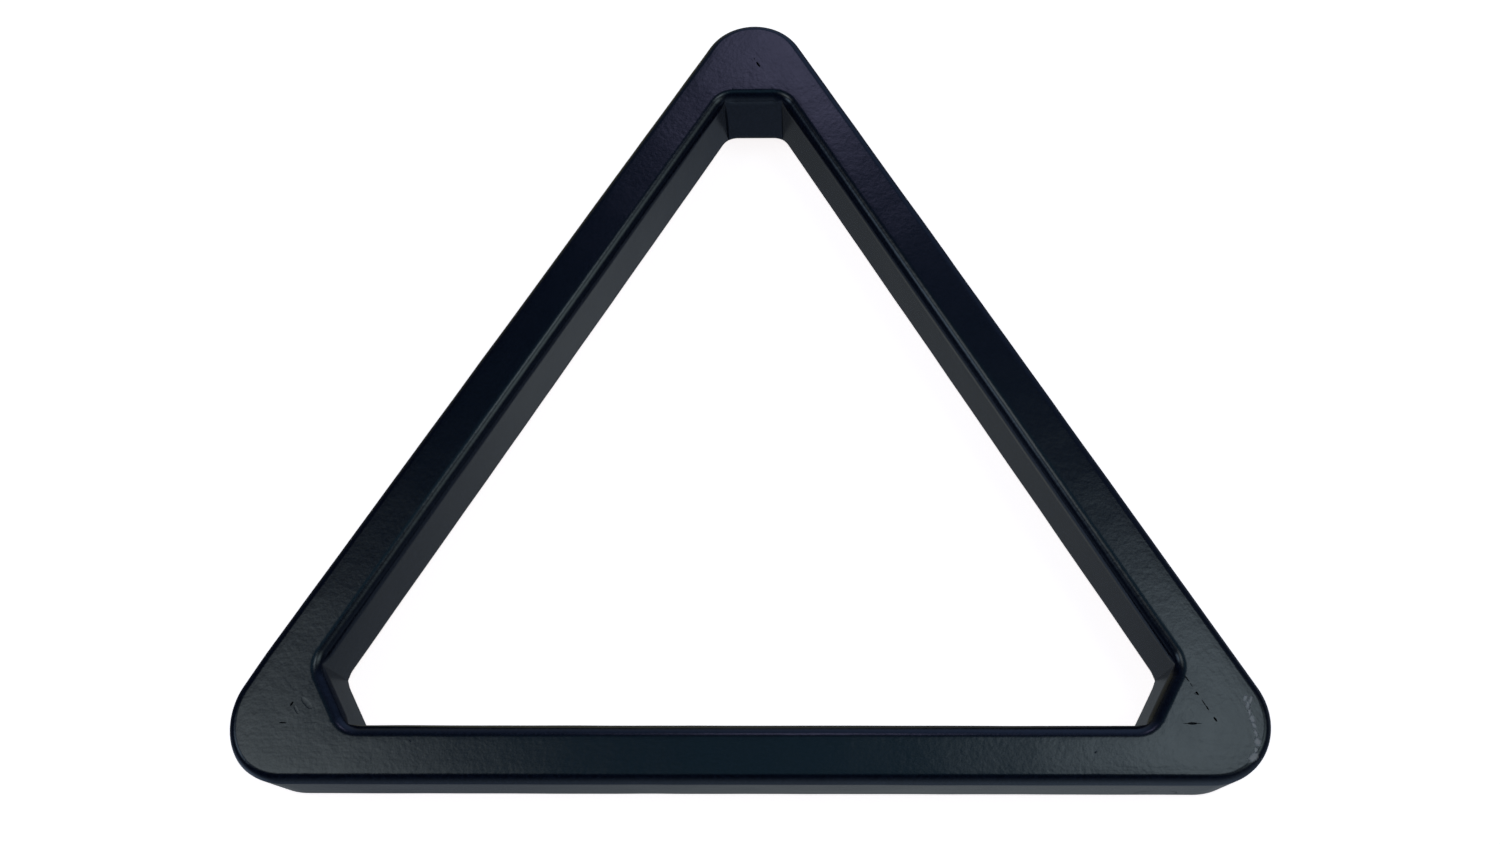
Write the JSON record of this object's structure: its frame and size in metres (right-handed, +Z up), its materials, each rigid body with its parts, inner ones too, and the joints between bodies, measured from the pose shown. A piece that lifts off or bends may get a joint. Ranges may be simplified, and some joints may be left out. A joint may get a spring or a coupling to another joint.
{
  "type": "triangle ball rack",
  "caption": "Black satin wooden triangle for racking pool balls, with rounded corners, eased edges and a corner block filling each inner corner.",
  "frame": {"origin": "middle of the rack's bounding box, at its underside", "axes": "+X along the base rail, +Y from the base rail to the apex, +Z up through the thickness"},
  "size_m": [0.3674, 0.3242, 0.033],
  "materials": {
    "black_lacquered_wood": "black satin lacquer over straight-grained hardwood",
    "dowel_wood": "bare beech"
  },
  "bodies": {
    "root": {"base_rail": "black_lacquered_wood", "right_rail": "black_lacquered_wood", "left_rail": "black_lacquered_wood", "apex_corner_block": "black_lacquered_wood", "left_corner_block": "black_lacquered_wood", "right_corner_block": "black_lacquered_wood", "apex_mitre_dowels": "dowel_wood", "left_mitre_dowels": "dowel_wood", "right_mitre_dowels": "dowel_wood"}
  },
  "joints": []
}
